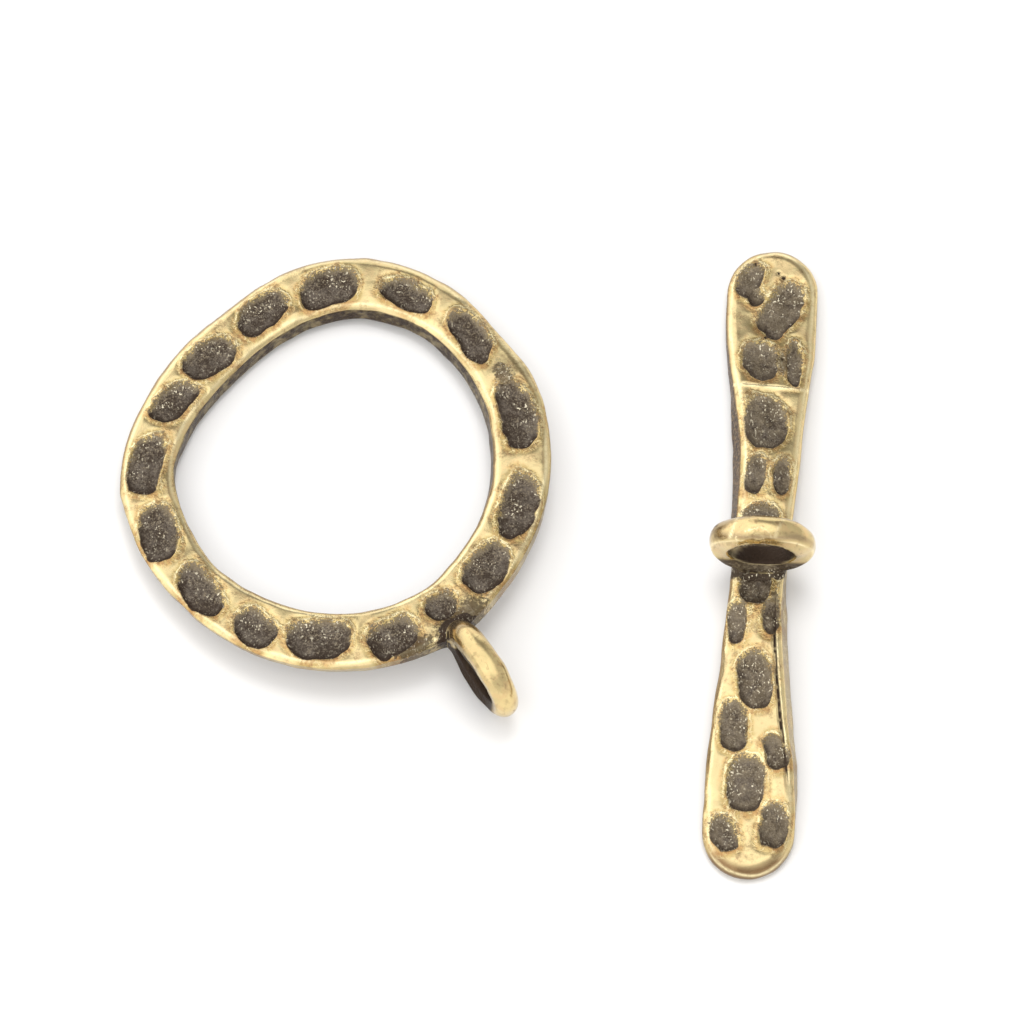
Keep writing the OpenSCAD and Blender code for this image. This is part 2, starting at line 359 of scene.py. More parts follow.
def relief(inside, depth, mark_depth):
    """Height of a hammered face: shoulders that fall towards the marks, lips, and the marks."""
    outside = np.maximum(-inside, 0)
    shoulder = SHOULDER_DEPTH * ridge(outside, SHOULDER_WIDTH)
    lip = LIP_HEIGHT * ridge(outside - LIP_WIDTH / 2, LIP_WIDTH) * (1 - depth)
    return lip - shoulder - (mark_depth - SHOULDER_DEPTH) * depth


# The ring in its own frame: its eye along +X, its face up, its middle plane at z = 0

def heading_of(points):
    return np.degrees(np.arctan2(points[:, 1], points[:, 0])) % 360


def ring_outer(heading):
    return RING_RADIUS * smooth(RING_OUTLINE, OUTER, heading, True)


def ring_band(heading):
    return BAND_WIDTH * smooth(RING_OUTLINE, BAND, heading, True)


def ring_back(heading):
    """Level of the ring's underside."""
    return BAND_THICKNESS / 2 - BAND_THICKNESS * smooth(RING_OUTLINE, DEEP, heading, True)


def ring_along(heading, radius):
    """Gives the distance along the ring from any heading to these points."""
    return lambda place: np.radians((heading - place + 180) % 360 - 180) * radius


def ring_relief(points):
    """The ring's dents, for points in its own frame."""
    heading = heading_of(points)
    radius = np.hypot(points[:, 0], points[:, 1])
    across = radius - ring_outer(heading) + ring_band(heading) / 2
    return dents(RING_MARKS, ring_along(heading, radius), across, BAND_WIDTH / 2, RING_MARK_SPAN, points)


def section_path(flat_steps, edge_steps, wall_steps, back_edge_steps, back_steps):
    """Rows of (side, level, out, up) round a flat section, from its inner top corner over the face.

    side and level say which corner or stretch a point belongs to, out and up where it is on a corner.
    """
    turn = np.linspace(0, pi / 2, edge_steps + 1)[1:]
    back_turn = np.linspace(0, pi / 2, back_edge_steps + 1)[1:]
    rows = [(s, 1, 0, 1) for s in np.linspace(-1, 1, flat_steps + 1)]
    bend = 2 / EDGE_POWER
    rows += [(1, 1, sin(a) ** bend, abs(cos(a)) ** bend) for a in turn]
    rows += [(1, v, 1, 0) for v in np.linspace(1, -1, wall_steps + 1)[1:]]
    rows += [(1, -1, cos(a), -sin(a)) for a in back_turn]
    rows += [(s, -1, 0, -1) for s in np.linspace(1, -1, back_steps + 1)[1:]]
    rows += [(-1, -1, -sin(a), -cos(a)) for a in back_turn]
    rows += [(-1, v, -1, 0) for v in np.linspace(-1, 1, wall_steps + 1)[1:]]
    rows += [(-1, 1, -cos(a) ** bend, sin(a) ** bend) for a in turn[:-1]]
    return np.array(rows)


def tube_faces(rows, count, closed):
    """Quads of a skin through rows of points, and end caps where it isn't closed."""
    i, j = np.meshgrid(np.arange(rows if closed else rows - 1), np.arange(count), indexing="ij")
    i, j = i.ravel(), j.ravel()
    i2, j2 = (i + 1) % rows, (j + 1) % count
    quads = np.stack([i * count + j, i * count + j2, i2 * count + j2, i2 * count + j], axis=1).tolist()
    if not closed:
        quads.append(list(range(count))[::-1])
        quads.append(list(range((rows - 1) * count, rows * count)))
    return quads


def low_down(level, up, on_wall):
    """How far down its wall each point of a section is, from 0 to 1, and back to 0 underneath."""
    return np.where(on_wall, (1 - level) / 2, np.where(level > 0, 0, 1 - np.abs(up)))


# Steps along the bodies, and round their sections: face, edge, wall, underside's edge, underside
RING_STATIONS = 820
BAR_BODY_STATIONS = 400
BAR_END_STATIONS = 44
RING_STEPS = (34, 9, 7, 5, 8)
BAR_STEPS = (54, 9, 7, 5, 10)


def ring_body():
    """Points and faces of the hammered ring, without its eye."""
    path = section_path(*RING_STEPS)
    heading = np.repeat(np.arange(RING_STATIONS) * 360 / RING_STATIONS, len(path))
    side, level, out, up = np.tile(path, (RING_STATIONS, 1)).T
    half = ring_band(heading) / 2
    mid = ring_outer(heading) - half
    swing = EDGE_SWING * np.cos(np.radians(heading - FAR_SIDE))
    face_drop = RING_EDGE_DROP + swing / 2
    reach = np.where(level > 0, RING_EDGE_REACH + swing, BACK_REACH)
    drop = np.where(level > 0, face_drop, BACK_DROP)
    on_wall = np.abs(out) == 1
    shift = np.where(on_wall, side * half, side * (half - reach) + out * reach)
    top = BAND_THICKNESS / 2
    back = ring_back(heading)
    wall_top, wall_low = top - face_drop, back + BACK_DROP
    height = np.where(on_wall, wall_low + (wall_top - wall_low) * (level + 1) / 2,
                      np.where(level > 0, top - drop, back + drop) + up * drop)
    draft = WALL_DRAFT * (0.5 + 0.5 * np.cos(np.radians(heading - NEAR_SIDE)))
    lowness = np.where(on_wall, (1 - level) / 2, np.where(level > 0, 0, 1)) * (side + 1) / 2
    inner_lowness = low_down(level, up, on_wall) * (1 - side) / 2
    inner_foot = INNER_FOOT * (0.5 + 0.5 * np.cos(np.radians(heading - INNER_SIDE))) ** 2
    radius = mid + shift - draft * lowness - inner_foot * inner_lowness
    angle = np.radians(heading)
    points = np.stack([radius * np.cos(angle), radius * np.sin(angle), height], axis=1)
    on_face = np.clip((height - top + face_drop) / face_drop, 0, 1)
    crowned = -CROWN * ((radius - mid) / half) ** 2
    points[:, 2] += on_face * (relief(*ring_relief(points), BAND_MARK_DEPTH) + crowned)
    return points, tube_faces(RING_STATIONS, len(path), True)


# How the ring lies: on its eye and two far points of its edge, turned about the line through them

def turn_about(axis, angle):
    return np.array(Matrix.Rotation(angle, 3, Vector(axis)))


def ring_eye_distance():
    return float(ring_outer(np.zeros(1))[0]) - EYE_SINK + EYE_RADIUS


def ring_turn():
    """Rotation from the ring's own frame to the frame of the model."""
    rim = []
    for heading in FAR_POINTS:
        reach = float(ring_outer(np.array([float(heading)]))[0]) - CAD_ROUNDING
        rim.append(reach * np.array([cos(radians(heading)), sin(radians(heading))]))
    line = rim[1] - rim[0]
    to_eye = np.array([ring_eye_distance(), 0]) - rim[0]
    eye_reach = (line[0] * to_eye[1] - line[1] * to_eye[0]) / np.linalg.norm(line)
    rise = BAND_THICKNESS / 2 - CAD_ROUNDING
    prop = asin((EYE_RADIUS - CAD_ROUNDING) / hypot(eye_reach, rise))
    prop -= atan2(rise, eye_reach)
    return turn_about((0, 0, 1), RING_HEADING) @ turn_about((line[0], line[1], 0), prop)


RING_TURN = ring_turn()
RING_EYE_PLACE = np.array(MOUNTS["ring_eye_hole"]["pos_m"]) / MM
RING_PLACE = RING_EYE_PLACE - RING_TURN @ np.array([ring_eye_distance(), 0, 0])
BAR_EYE_PLACE = np.array(MOUNTS["bar_eye_hole"]["pos_m"]) / MM
BAR_PLACE = np.array([BAR_EYE_PLACE[0], BAR_EYE_PLACE[1] + BAR_EYE_OFFSET, 0])


# The bar in its own frame: its length along Y, its underside on z = 0

def bar_width(place):
    """Half the bar's width, and how far into its rounded end each place is, from 0 to 1."""
    wide = BAR_WIDTH / 2 * smooth(BAR_SECTIONS, WIDE, place, False)
    to_end = HALF_BAR * (1 - np.abs(place))
    return wide, np.clip(1 - to_end / wide, 0, 1)


def bar_inset(place, x):
    """Distance from a point of the bar to its outline, seen from above."""
    wide, a = bar_width(place)
    b = np.abs(x) / wide
    reach = np.maximum((a ** END_POWER + b ** END_POWER) ** (1 / END_POWER), TINY)
    slope = np.hypot((a / reach) ** (END_POWER - 1), (b / reach) ** (END_POWER - 1))
    return wide * (1 - reach) / np.maximum(slope, 0.5)


def bar_half(place):
    """Half the bar's width at each place, with its ends rounded."""
    wide, a = bar_width(place)
    return wide * (1 - a ** END_POWER) ** (1 / END_POWER)


def bar_along(place):
    """Gives the distance along the bar from any place to these points."""
    return lambda other: (place - other) * HALF_BAR


def bar_relief(points, place):
    """The bar's dents, for points before its lean."""
    marks = BAR_MARKS + BAR_TAILS
    return dents(marks, bar_along(place), points[:, 0], BAR_WIDTH / 2, BAR_MARK_SPAN, points)


def bar_pits(points, place):
    """Strength of the pits, from 0 to 1."""
    total = np.zeros(len(points))
    for pit_place, across, radius in BAR_PITS:
        apart = np.hypot((place - pit_place) * HALF_BAR, points[:, 0] - across * BAR_WIDTH / 2)
        total = np.maximum(total, ridge(apart, radius))
    return total


def groove(points, place):
    """Strength from 0 to 1 of the groove along the bar's right edge."""
    length = stretch(place, GROOVE_FROM, GROOVE_FROM + GROOVE_EASE, GROOVE_TO, GROOVE_TO - GROOVE_EASE)
    inset = np.where(points[:, 0] > 0, bar_half(place) - points[:, 0], FAR) + 0.05 * noise(points, 0.7, 41)
    line = ridge(np.minimum(inset - GROOVE_INSET, BAR_WIDTH), GROOVE_WIDTH) * length
    return line * (0.75 + 0.35 * noise(points, 0.14, 42))


def foot_swell(place, side):
    """Share of FOOT_OUT by which the bar's walls stand out, for each side."""
    return np.where(side < 0, stretch(place, *LEFT_FOOT), stretch(place, *RIGHT_FOOT))


def bar_stations():
    """Stations along the bar as shares of half its length, closer round its ends."""
    wide = BAR_WIDTH / 2 * BAR_SECTIONS[0, WIDE]
    turn = np.linspace(0, pi / 2, BAR_END_STATIONS + 1)[1:]
    to_end = wide * (1 - np.sin(turn) ** (2 / END_POWER))
    to_end[-1] = to_end[-2] / 4
    end = 1 - to_end / HALF_BAR
    body = 1 - wide / HALF_BAR
    return np.concatenate([-end[::-1], np.linspace(-body, body, BAR_BODY_STATIONS), end])


def bar_body():
    """Points and faces of the hammered bar, without its eye."""
    path = section_path(*BAR_STEPS)
    stations = bar_stations()
    place = np.repeat(stations, len(path))
    side, level, out, up = np.tile(path, (len(stations), 1)).T
    half = bar_half(place)
    thick = BAR_THICKNESS * smooth(BAR_SECTIONS, THICK, place, False)
    near_end = steps(-0.8, -0.96, place)
    edge_reach = BAR_EDGE_REACH + NEAR_END_REACH * near_end
    edge_drop = BAR_EDGE_DROP + NEAR_END_DROP * near_end
    reach = np.minimum(np.where(level > 0, edge_reach, BACK_REACH), half * 0.9)
    on_wall = np.abs(out) == 1
    x = np.where(on_wall, side * half, side * (half - reach) + out * reach)
    inset = np.maximum(bar_inset(place, x), 0)
    face = thick - edge_fall(inset, edge_reach, edge_drop)
    back = edge_fall(inset, BACK_REACH, BACK_DROP)
    height = np.where(on_wall, back + (face - back) * (level + 1) / 2, np.where(level > 0, face, back))
    points = np.stack([x, place * HALF_BAR, height], axis=1)
    on_face = np.where(level > 0, np.clip((height - thick + edge_drop) / edge_drop, 0, 1), 0)
    across_ridge = RIDGE_HEIGHT * ridge((place - BAR_RIDGE) * HALF_BAR, RIDGE_WIDTH)
    crowned = -CROWN * (x / np.maximum(half, 0.1)) ** 2
    points[:, 2] += on_face * (relief(*bar_relief(points, place), BAR_MARK_DEPTH) + across_ridge + crowned)
    sunk = GROOVE_DEPTH * groove(points, place) + PIT_DEPTH * bar_pits(points, place)
    points[:, 2] -= np.where(level > 0, sunk, 0)
    points[:, 0] += side * FOOT_OUT * low_down(level, up, on_wall) * foot_swell(place, side)
    return leaned(points, place, half), tube_faces(len(stations), len(path), False)


def lean_at(place, half):
    """Lean of the bar's sections, and how far each is lifted to keep its underside on the ground."""
    lean = BAR_LEAN * smooth(BAR_SECTIONS, LEAN, place, False)
    rounding = np.minimum(CAD_ROUNDING, half * 0.9)
    return lean, (half - rounding) * np.abs(np.sin(lean)) - rounding * (1 - np.cos(lean))


def leaned(points, place, half):
    """Points of the bar turned by the lean of their sections."""
    lean, low = lean_at(place, half)
    x = points[:, 0] * np.cos(lean) + points[:, 2] * np.sin(lean)
    z = points[:, 2] * np.cos(lean) - points[:, 0] * np.sin(lean) + low
    return np.stack([x, points[:, 1], z], axis=1)


def unleaned(points):
    """The bar's points before the lean, and their places as shares of half the length."""
    place = np.clip(points[:, 1] / HALF_BAR, -1, 1)
    lean, low = lean_at(place, bar_half(place))
    z = points[:, 2] - low
    flat = np.stack([points[:, 0] * np.cos(lean) - z * np.sin(lean), points[:, 1],
                     z * np.cos(lean) + points[:, 0] * np.sin(lean)], axis=1)
    return flat, place


# Eyes, each in its own frame: the axis of the hole along Y, its seen mouth towards -Y

EYE_STATIONS = 160
CROWN_STEPS = 26
SIDE_STEPS = 8
# Where the round crown starts at the back and ends on the seen side, and how far it ends sooner aside
CROWN_BACK = radians(-88)
SEAM = radians(86)
RING_SEAM_FALL = radians(12)
BAR_SEAM_FALL = radians(52)
# The seen mouth: how far it stands before the middle, how much further at the top, and its rim's width
MOUTH = 0.47
MOUTH_LEAN = 0.12
MOUTH_RIM = 0.04
# How much wider the hole is at its sides and narrower at its top
HOLE_WIDER = 0.09
HOLE_LOWER = 0.06
# The hole's wall: how much wider than the hole, and how far behind its mouth and then from its middle
BORE_FRONT = [(0, 0.06), (-0.01, 0.2)]
BORE_BACK = [(-0.01, 0.0), (-0.01, 0.25), (0.02, 0.42), (0.12, 0.52)]


def eye_body(seam_fall):
    """Points and faces of an eye: a round crown, a crease on its seen side, and a leaning mouth."""
    turn = np.arange(EYE_STATIONS) * 2 * pi / EYE_STATIONS
    rows = []
    crown = EYE_WIDTH / 2
    core = EYE_RADIUS - crown
    for angle in turn:
        upper = max(cos(angle), 0)
        aside = sin(angle) ** 2
        seam = SEAM - seam_fall * aside
        mouth = -(MOUTH + MOUTH_LEAN * cos(angle))
        hole = EYE_HOLE + HOLE_WIDER * aside - HOLE_LOWER * upper
        section = [(core + crown * cos(a), -crown * sin(a))
                   for a in np.linspace(CROWN_BACK, seam, CROWN_STEPS)]
        edge = section[-1]
        rim = (hole + MOUTH_RIM, mouth)
        section += [tuple(edge[k] + (rim[k] - edge[k]) * s for k in (0, 1))
                    for s in np.linspace(0, 1, SIDE_STEPS + 1)[1:]]
        section += [(hole + wider, mouth + along) for wider, along in BORE_FRONT]
        section += [(hole + wider, along) for wider, along in BORE_BACK]
        rows.append([(r * sin(angle), y, r * cos(angle)) for r, y in section])
    points = np.array(rows).reshape(-1, 3)
    return points, tube_faces(EYE_STATIONS, len(rows[0]), True)


def eye_distance(points):
    """Distance from an eye's round body, in the eye's frame."""
    core = EYE_RADIUS - EYE_WIDTH / 2
    return np.hypot(np.hypot(points[:, 0], points[:, 2]) - core, points[:, 1]) - EYE_WIDTH / 2


# Turning points into Blender pieces

def new_object(name, data):
    thing = bpy.data.objects.new(name, data)
    bpy.context.scene.collection.objects.link(thing)
    return thing


def mesh_object(name, points, faces):
    mesh = bpy.data.meshes.new(name)
    mesh.from_pydata((points * MM).tolist(), [], faces)
    mesh.validate()
    mesh.update()
    return new_object(name, mesh)


def read(piece, what):
    """The places in metres, "co", or the normals, "vector", of a piece's points."""
    mesh = piece.data
    source = mesh.vertices if what == "co" else mesh.vertex_normals
    values = np.zeros(len(mesh.vertices) * 3, np.float32)
    source.foreach_get(what, values)
    return values.reshape(-1, 3).astype(float)


def places(piece):
    return read(piece, "co") / MM


def normals(piece):
    return read(piece, "vector")


def move_out(piece, shift):
    """Moves each point of a piece along its normal, by so many millimetres."""
    points = read(piece, "co") + normals(piece) * (shift * MM)[:, None]
    piece.data.vertices.foreach_set("co", points.astype(np.float32).ravel())
    piece.data.update()


FILLET = 0.5


def swell(piece, distance):
    """Moves a surface out where the other one is near, so that they meet in a fillet."""
    near = np.clip(1 - distance / FILLET, 0, 1)
    move_out(piece, near ** 2 * FILLET / 4)


def fuse(body, eye, turn, place):
    """Joins an eye to its body with a fillet. turn and place are the eye's."""
    polygons = [tuple(polygon.vertices) for polygon in body.data.polygons]
    tree = BVHTree.FromPolygons([tuple(p) for p in places(body)], polygons)
    apart = np.array([tree.find_nearest(Vector(p))[3] for p in places(eye)])
    swell(body, np.maximum(eye_distance((places(body) - place) @ turn), 0))
    swell(eye, apart)
    joined = body.modifiers.new("joined", "BOOLEAN")
    joined.operation = "UNION"
    joined.solver = "EXACT"
    joined.object = eye
    graph = bpy.context.evaluated_depsgraph_get()
    mesh = bpy.data.meshes.new_from_object(body.evaluated_get(graph))
    body.modifiers.clear()
    body.data = mesh
    bpy.data.objects.remove(eye)
    mesh.shade_smooth()
    return body


def cast(name, body, seam_fall, turn, place, eye_place):
    """A piece with its eye joined on, in the frame of the model."""
    points, faces = body
    eye_points, eye_faces = eye_body(seam_fall)
    piece = mesh_object(name, points @ turn.T + place, faces)
    eye = mesh_object(name + "_eye", eye_points @ turn.T + eye_place, eye_faces)
    return fuse(piece, eye, turn, eye_place)


def rough(piece, seed, inside, eye):
    """Roughens the skin like that of a cast piece, and the marks' floors a little more."""
    place = places(piece)
    in_mark = steps(0, 0.1, inside)
    # Each wave is its height in mm times noise of its length in mm
    shift = 0.034 * noise(place, 1.3, seed) + 0.026 * noise(place, 0.6, seed + 1)
    shift += 0.028 * in_mark * noise(place, 0.38, seed + 3) + 0.02 * eye * noise(place, 0.8, seed + 4)
    shift += (0.003 + 0.009 * in_mark) * noise(place, 0.18, seed + 2)
    move_out(piece, shift)


def paint(piece, layers):
    """Keeps numbers for each point of a piece, for its material to read."""
    for name, values in layers.items():
        layer = piece.data.attributes.new(name, "FLOAT", "POINT")
        layer.data.foreach_set("value", values.astype(np.float32))


def worn_edge_highlight(inset, upward, model):
    """The bright line inside a long edge, which wanders and fades: a painted highlight, partly wear."""
    line = ridge(inset - 0.2 - 0.05 * noise(model, 0.9, 51), 0.06) * steps(0.35, 0.6, upward)
    return line * (0.8 + 0.5 * noise(model, 0.8, 52))


# The way that the far edges of both pieces face, where shade is painted
FAR_WAY = np.array([-0.5, 0.86, 0])


def far_edge_shade(piece):
    """Painted shade where the long edges turn down on the far side of a piece."""
    normal = normals(piece)
    return steps(0.88, 0.64, normal[:, 2]) * steps(0.15, 0.45, normal @ FAR_WAY)


def low_highlight_line(height, upward):
    """A painted highlight: a line of bare gold low on the walls, by height above the underside."""
    return ridge(height - 0.13, 0.06) * (1 - steps(0.1, 0.4, np.abs(upward + 0.3)))


# Step southwards that tells a mark's near rim from its far one
LEE_STEP = 0.06
# Width of the dark crevice round an eye, on the body and on the eye
FOOT_WIDTH = 0.55
ROOT_WIDTH = 0.24


def rim_layers(inside, inside_south):
    """Distance inside the nearest mark, and lee: 1 at near rims and -1 at far ones."""
    return {"inside": np.clip(inside, -1, 1), "lee": np.clip((inside - inside_south) / LEE_STEP, -1, 1)}


def eye_share(local):
    """1 on the eye and 0 on the body."""
    return 1 - steps(0.0, 0.12, eye_distance(local))


def eye_layers(local, radial, from_body):
    """Where the eye is, its root, its foot on the body and its dark hole."""
    eye = eye_share(local)
    return {"eye": eye, "root": eye * ridge(np.maximum(from_body, 0), ROOT_WIDTH),
            "foot": ridge(np.maximum(eye_distance(local), 0), FOOT_WIDTH) * (1 - eye),
            "bore": steps(-0.02, 0.05, EYE_HOLE + 0.1 - radial) * eye}


def seen_side(local):
    """1 on the side of the eye where its mouth shows."""
    return steps(0.05, 0.2, -local[:, 1]) * eye_share(local)


# How far from its middle the ring's eye stays dark, and how low the bar's eye turns dark
DARK_MOUTH = 1.43
DARK_FOOT = -0.8


def ring_layers(piece):
    """Numbers for the ring's material."""
    local = (places(piece) - RING_PLACE) @ RING_TURN
    heading = heading_of(local)
    half = ring_band(heading) / 2
    out = np.hypot(local[:, 0], local[:, 1]) - ring_outer(heading)
    level = local[:, 2]
    back = ring_back(heading)
    southward = np.array([0, -LEE_STEP, 0]) @ RING_TURN
    upward = normals(piece) @ RING_TURN[:, 2]
    face = steps(0.3, 0.65, upward)
    inner = steps(0.1, -0.1, out + half)
    near_wall = steps(-0.3, -0.7, normals(piece)[:, 1]) * (1 - inner)
    above = np.maximum(level - BAND_THICKNESS / 2, back - level)
    from_body = np.hypot(np.maximum(out, 0), np.maximum(above, 0))
    eye_local = (places(piece) - RING_EYE_PLACE) @ RING_TURN
    radial = np.hypot(eye_local[:, 0], eye_local[:, 2])
    seen = seen_side(eye_local)
    low_side = steps(0.15, -0.2, eye_local[:, 2]) * steps(1.7, 1.2, eye_local[:, 0])
    stain = stained(RING_STAINS, ring_along(heading, RING_RADIUS), out + half, BAND_WIDTH / 2)
    return {**rim_layers(ring_relief(local)[0], ring_relief(local + southward)[0]),
            **eye_layers(eye_local, radial, from_body),
            "face": face, "wall": (1 - face) * (0.65 + 0.35 * inner - 0.4 * near_wall),
            # edge: a painted highlight along the long edges, partly wear
            "edge": worn_edge_highlight(half - np.abs(out + half), upward, places(piece)),
            # low: a painted highlight low on the walls
            "low": low_highlight_line(level - back, upward),
            "cheek": np.maximum(steps(0, 0.04, DARK_MOUTH - radial), low_side) * seen,
            # crease: a painted highlight along the crease of the eye
            "crease": ridge(radial - DARK_MOUTH - 0.03, 0.04) * seen * (1 - low_side),
            # shade: painted shade on the far edges
            "shade": far_edge_shade(piece), "stain": stain}


def make_ring():
    piece = cast("hammered_ring", ring_body(), RING_SEAM_FALL, RING_TURN, RING_PLACE, RING_EYE_PLACE)
    local = (places(piece) - RING_PLACE) @ RING_TURN
    eye_local = (places(piece) - RING_EYE_PLACE) @ RING_TURN
    rough(piece, 11, ring_relief(local)[0], eye_share(eye_local))
    paint(piece, ring_layers(piece))
    return piece


def bar_edge_highlight(place, inset, upward, model):
    """The painted highlight along the bar's edges, partly wear, further out round its near end, and on its
    ridge.
    """
    near_end = steps(-0.9, -0.96, place)
    along = worn_edge_highlight(inset, upward, model) * (1 - near_end)
    edge = np.maximum(along, ridge(inset - 0.07, 0.035) * near_end)
    return np.maximum(edge, ridge((place - BAR_RIDGE) * HALF_BAR, RIDGE_WIDTH))


def crease_radius(local, radial):
    """How far from the hole's middle the crease above the seen side of the bar's eye runs."""
    crown = EYE_WIDTH / 2
    aside = (local[:, 0] / np.maximum(radial, TINY)) ** 2
    return EYE_RADIUS - crown + crown * np.cos(SEAM - BAR_SEAM_FALL * aside)


def bar_layers(piece):
    """Numbers for the bar's material."""
    flat, place = unleaned(places(piece) - BAR_PLACE)
    inside_south = bar_relief(flat - np.array([0, LEE_STEP, 0]), place - LEE_STEP / HALF_BAR)[0]
    upward = normals(piece)[:, 2]
    face = steps(0.25, 0.6, upward)
    inset = bar_inset(place, flat[:, 0])
    near_end = steps(-0.9, -0.96, place)
    # Painted shade on the slope of the bar's near end
    near_slope_shade = steps(0.5, 0.15, inset) * near_end * 1.3
    dark_side = steps(-0.15, 0.0, place) * steps(0.3, -0.3, flat[:, 0]) * steps(0.95, 0.6, place)
    thick = BAR_THICKNESS * smooth(BAR_SECTIONS, THICK, place, False)
    local = places(piece) - BAR_EYE_PLACE
    radial = np.hypot(local[:, 0], local[:, 2])
    seen = seen_side(local)
    crease = radial - crease_radius(local, radial)
    # A painted dark reflection in a band above the crease of the eye
    reflection_above_crease = 1.25 * ridge(crease - 0.2, 0.12) * seen
    # A painted highlight along the lower rim of the hole
    hole_rim_highlight = ridge(radial - EYE_HOLE - 0.05, 0.04) * steps(-0.3, -0.8, local[:, 2]) * 0.7
    layers = eye_layers(local, radial, flat[:, 2] - thick)
    lines = steps(0.2, 0.55, np.maximum(groove(flat, place), bar_pits(flat, place))) * (1 - layers["eye"])
    layers["bore"] = np.maximum(layers["bore"], lines)
    stain = stained(BAR_STAINS, bar_along(place), flat[:, 0], BAR_WIDTH / 2)
    return {**layers, **rim_layers(bar_relief(flat, place)[0], inside_south),
            "face": face, "wall": (1 - face) * (0.55 + 0.9 * dark_side) * (1 - 0.4 * near_end),
            # edge: a painted highlight along the edges and on the ridge, partly wear
            "edge": bar_edge_highlight(place, inset, upward, places(piece)), "low": low_highlight_line(flat[:, 2], upward),
            "cheek": steps(0.1, -0.25, local[:, 2] - DARK_FOOT) * seen * (1 - hole_rim_highlight),
            # crease: painted highlights along the crease and the hole's lower rim
            "crease": np.maximum(ridge(crease, 0.04), hole_rim_highlight) * seen,
            # shade: painted shade on the near end and the far edges, and the painted reflection above the
            # crease
            "shade": np.maximum(np.maximum(reflection_above_crease, near_slope_shade), far_edge_shade(piece)), "stain": stain}


def make_bar():
    piece = cast("hammered_bar", bar_body(), BAR_SEAM_FALL, np.eye(3), BAR_PLACE, BAR_EYE_PLACE)
    flat, place = unleaned(places(piece) - BAR_PLACE)
    rough(piece, 23, bar_relief(flat, place)[0], eye_share(places(piece) - BAR_EYE_PLACE))
    paint(piece, bar_layers(piece))
    return piece


# Materials

OLIVE = (0.44, 0.325, 0.13, 1)
GOLD = (0.68, 0.51, 0.22, 1)
ROSE = (0.62, 0.4, 0.17, 1)
BROWN = (0.25, 0.155, 0.075, 1)
# Rubbed brass, and the colour of painted highlights
RUBBED_AND_HIGHLIGHT = (0.94, 0.8, 0.47, 1)
# Warm brown, partly tarnish and partly painted shade, outside the marks' near rims
WARM_SHADE_AND_TARNISH = (0.4, 0.22, 0.085, 1)
PATINA = (0.122, 0.098, 0.076, 1)
PATINA_DARK = (0.05, 0.034, 0.022, 1)
PATINA_DEEP = (0.034, 0.019, 0.01, 1)
PATINA_PALE = (0.27, 0.215, 0.135, 1)
# Pale specks: bare grains, and painted glints
GLINT_SPECK = (0.75, 0.67, 0.5, 1)


class Nodes:
    """Short ways to add shader nodes."""

    def __init__(self, material):
        material.use_nodes = True
        self.tree = material.node_tree
        self.tree.nodes.clear()

    def add(self, kind, inputs=None, **settings):
        node = self.tree.nodes.new("ShaderNode" + kind)
        for name, value in settings.items():
            setattr(node, name, value)
        for name, value in (inputs or {}).items():
            self.put(node.inputs[name], value)
        return node

    def put(self, socket, value):
        if isinstance(value, bpy.types.NodeSocket):
            self.tree.links.new(value, socket)
        else:
            socket.default_value = value

    def value(self, name):
        """A number painted on the mesh."""
        return self.add("Attribute", attribute_name=name).outputs["Fac"]

    def math(self, operation, a, b=0.0):
        return self.add("Math", {0: a, 1: b}, operation=operation).outputs[0]

    def plus(self, a, b):
        return self.math("ADD", a, b)

    def times(self, a, *others):
        for other in others:
            a = self.math("MULTIPLY", a, other)
        return a

    def most(self, a, *others):
        for other in others:
            a = self.math("MAXIMUM", a, other)
        return a

    def ramp(self, value, low, high, to_low=0.0, to_high=1.0):
        """value taken from low..high to to_low..to_high, smoothly, and clamped."""
        return self.add("MapRange", {"Value": value, "From Min": low, "From Max": high, "To Min": to_low,
                                     "To Max": to_high}, interpolation_type="SMOOTHSTEP").outputs[0]

    def mix(self, factor, a, b):
        """Colour between a and b."""
        return self.add("Mix", {0: factor, 6: a, 7: b}, data_type="RGBA").outputs[2]

    def noise(self, place, grain, detail=2.0, roughness=0.5):
        """Noise from 0 to 1 with features of about grain millimetres."""
        return self.add("TexNoise", {"Vector": place, "Scale": 1 / (grain * MM), "Detail": detail,
                                     "Roughness": roughness}).outputs[0]


class Brass(Nodes):
    """Layers of antique brass, from noises and from the numbers painted on the mesh."""

    def __init__(self, material, shift, pale):
        """shift moves the noises, so that the pieces differ, and pale says how light the patina is."""
        super().__init__(material)
        place = self.add("TexCoord").outputs["Object"]
        place = self.add("Mapping", {"Vector": place, "Location": (shift, shift, shift)})
        self.place = place.outputs[0]
        self.pale = pale
        self.fine = self.noise(self.place, 0.07, 2, 0.6)
        self.grain = self.noise(self.place, 0.15, 3, 0.65)
        self.medium = self.noise(self.place, 0.42, 3, 0.6)
        self.blotch = self.noise(self.place, 0.75, 3, 0.6)
        self.broad = self.noise(self.place, 1.5, 2)
        self.texture = self.plus(self.times(self.grain, 0.5), self.times(self.fine, 0.5))
        self.lee, self.wall = self.value("lee"), self.value("wall")
        self.eye, self.bore, self.cheek = self.value("eye"), self.value("bore"), self.value("cheek")
        self.not_eye = self.math("SUBTRACT", 1, self.eye)
        self.ragged = ragged_rims(self)
        self.close = self.times(self.ramp(self.ragged, -0.34, -0.08, 0.08, 1),
                                self.ramp(self.eye, 0, 1, 1, 0.3))


def stretched(m, x, y, z):
    return m.add("Mapping", {"Vector": m.place, "Scale": (x, y, z)}).outputs[0]


